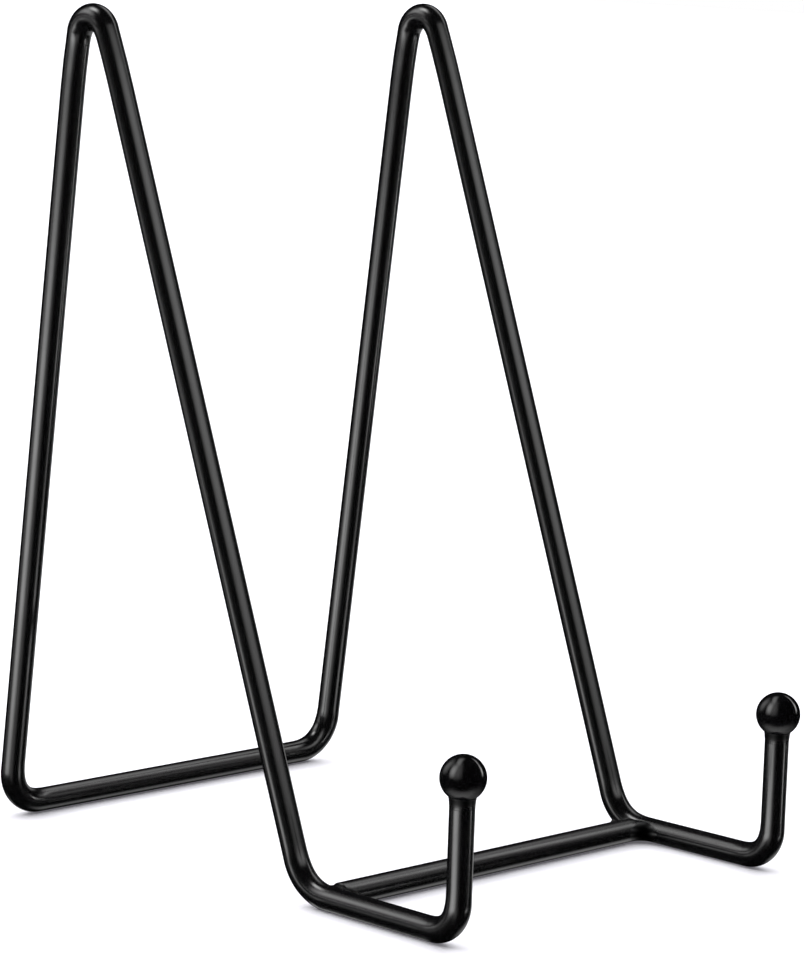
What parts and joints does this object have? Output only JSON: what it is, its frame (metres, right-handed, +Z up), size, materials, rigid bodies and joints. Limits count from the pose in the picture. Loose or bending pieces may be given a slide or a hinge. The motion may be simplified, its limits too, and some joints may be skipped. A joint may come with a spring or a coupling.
{
  "type": "photo album stand",
  "caption": "Free-standing black wire stand with two leaning sides, a rear bar, a crossbar and ball-tipped hooks that hold an album, plate or picture upright.",
  "frame": {"origin": "centre of the stand's bounding box in plan, on the floor that it stands on", "axes": "+Z up; +X along the crossbar and the rear bar; the hooks and balls face -Y and the rear bar is at +Y"},
  "size_m": [0.0902, 0.1227, 0.1524],
  "materials": {
    "wire_coat": "satin black powder coat over steel wire, faint orange peel",
    "ball_coat": "glossy black powder coat over a steel ball",
    "weld_coat": "satin black powder coat over weld metal"
  },
  "bodies": {
    "root": {"wire_frame": "wire_coat", "crossbar": "wire_coat", "ball_left": "ball_coat", "ball_right": "ball_coat", "ball_weld_left": "weld_coat", "ball_weld_right": "weld_coat", "crossbar_weld_left": "weld_coat", "crossbar_weld_right": "weld_coat"}
  },
  "joints": []
}
